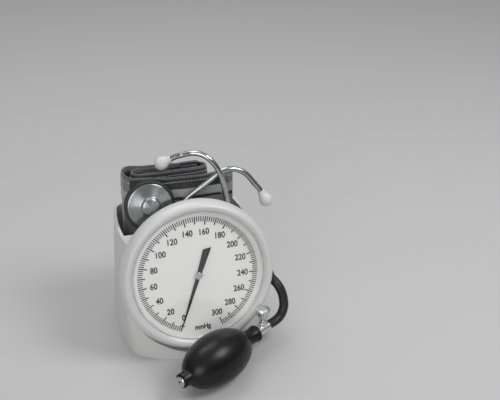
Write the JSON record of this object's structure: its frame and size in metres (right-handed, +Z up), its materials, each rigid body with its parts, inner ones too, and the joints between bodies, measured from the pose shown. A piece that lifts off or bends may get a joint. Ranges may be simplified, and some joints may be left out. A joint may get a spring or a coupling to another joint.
{
  "type": "aneroid sphygmomanometer",
  "caption": "Desk aneroid sphygmomanometer: round tilted gauge on a flared foot, basket with folded cuff and stethoscope, bulb with release valve on a hose.",
  "frame": {"origin": "centre of the housing's flat underside, on the table plane", "axes": "+X to the object's right as the dial is read, +Y to the back where the basket is, +Z up; the dial faces -Y and leans back"},
  "size_m": [0.1549, 0.1832, 0.1718],
  "materials": {
    "white_plastic": "glossy moulded plastic",
    "ring_plastic": "glossy moulded plastic",
    "clear_lens": "clear",
    "dial_face": "matte printed",
    "case_metal": "drawn",
    "brass": "machined",
    "steel": "machined",
    "chrome": "polished",
    "pointer_black": "satin",
    "black_rubber": "glossy dipped rubber",
    "grey_rubber": "matte",
    "cuff_cloth": "woven nylon",
    "band_print": "printed stripe",
    "ear_tip": "milky soft plastic",
    "black_plastic": "moulded",
    "film": "stiff film"
  },
  "bodies": {
    "stand": {"housing": "white_plastic", "base_plate": "white_plastic", "rubber_feet": "grey_rubber", "base_screws": "steel", "bezel_ring": "ring_plastic", "lens": "clear_lens", "spacer_ring": "ring_plastic", "dial_plate": "dial_face", "gauge_case": "case_metal", "case_screws": "steel", "pressure_base": "brass", "movement_screws": "steel", "capsule": "brass", "lower_posts": "brass", "lower_plate": "brass", "upper_pillars": "brass", "upper_plate": "brass", "plate_screws": "steel", "rocker_bearings": "brass", "hairspring": "steel", "hairspring_stud": "brass", "inlet_elbow": "chrome", "elbow_nut": "chrome", "cuff_port": "chrome", "hose": "black_rubber", "bulb": "black_rubber", "inlet_valve": "chrome", "valve_body": "chrome", "valve_gland": "chrome"},
    "pusher": {"capsule_pusher": "brass"},
    "rocker": {"rocker_shaft": "steel"},
    "sector": {"sector_gear": "brass"},
    "pointer_arbor": {"pinion_arbor": "steel", "pointer": "pointer_black", "pointer_cap": "steel"},
    "inlet_check": {"inlet_ball": "steel"},
    "outlet_check": {"outlet_disc": "grey_rubber"},
    "release_screw": {"valve_screw": "chrome"},
    "folded_cuff": {"cuff": "cuff_cloth", "cuff_bladder": "grey_rubber", "cuff_range_band": "band_print", "d_ring": "chrome"},
    "stethoscope": {"chest_piece": "chrome", "chest_rim": "black_plastic", "chest_diaphragm": "film", "chest_stem": "chrome", "steth_tubing": "grey_rubber", "binaural_sockets": "grey_rubber", "leaf_spring": "steel"},
    "left_ear_tube": {"left_binaural": "chrome", "left_ear_tip": "ear_tip"},
    "right_ear_tube": {"right_binaural": "chrome", "right_ear_tip": "ear_tip"}
  },
  "joints": [
    {"name": "sector_swing", "type": "hinge", "parent": "stand", "child": "sector", "pos_m": [-0.0062, -0.03036, 0.09717], "axis": [0, -0.9848, 0.1736], "range_deg": [0, 26.5]},
    {"name": "pointer_spin", "type": "hinge", "parent": "stand", "child": "pointer_arbor", "pos_m": [0, -0.0445, 0.07744], "axis": [0, -0.9848, 0.1736], "range_deg": [-318, 0]},
    {"name": "rocker_turn", "type": "hinge", "parent": "stand", "child": "rocker", "pos_m": [-0.005, -0.02776, 0.07448], "axis": [0, -0.1736, -0.9848], "range_deg": [0, 17.7]},
    {"name": "pusher_lift", "type": "slide", "parent": "stand", "child": "pusher", "axis": [0, -0.9848, 0.1736], "range_m": [0, 0.00152]},
    {"name": "release_screw_turn", "type": "hinge", "parent": "stand", "child": "release_screw", "pos_m": [0.05365, -0.06647, 0.04], "axis": [0, 0, 1], "range_deg": [0, 540]},
    {"name": "inlet_ball_travel", "type": "slide", "parent": "stand", "child": "inlet_check", "axis": [0.8686, 0.4955, 0], "range_m": [0, 0.001]},
    {"name": "outlet_disc_travel", "type": "slide", "parent": "stand", "child": "outlet_check", "axis": [0.8686, 0.4955, 0], "range_m": [0, 0.0015]},
    {"name": "cuff_lift_out", "type": "slide", "parent": "stand", "child": "folded_cuff", "axis": [0, 0, 1], "range_m": [0, 0.15]},
    {"name": "stethoscope_lift_out", "type": "slide", "parent": "folded_cuff", "child": "stethoscope", "axis": [0, 0, 1], "range_m": [0, 0.16]},
    {"name": "left_tube_spread", "type": "hinge", "parent": "stethoscope", "child": "left_ear_tube", "pos_m": [0.041, 0.003, 0.112], "axis": [0, 1, 0], "range_deg": [0, 20], "stiffness_Nm_per_rad": 0.6, "springref_deg": -2.86},
    {"name": "right_tube_spread", "type": "hinge", "parent": "stethoscope", "child": "right_ear_tube", "pos_m": [-0.001, 0.0095, 0.112], "axis": [0, 1, 0], "range_deg": [0, 12], "stiffness_Nm_per_rad": 0.6, "springref_deg": -2.86}
  ],
  "couplings": [
    {"joint": "pointer_spin", "follows": "sector_swing", "ratio": -12},
    {"joint": "rocker_turn", "follows": "sector_swing", "ratio": 0.668},
    {"joint": "pusher_lift", "follows": "sector_swing", "m_per_rad": 0.003287}
  ]
}
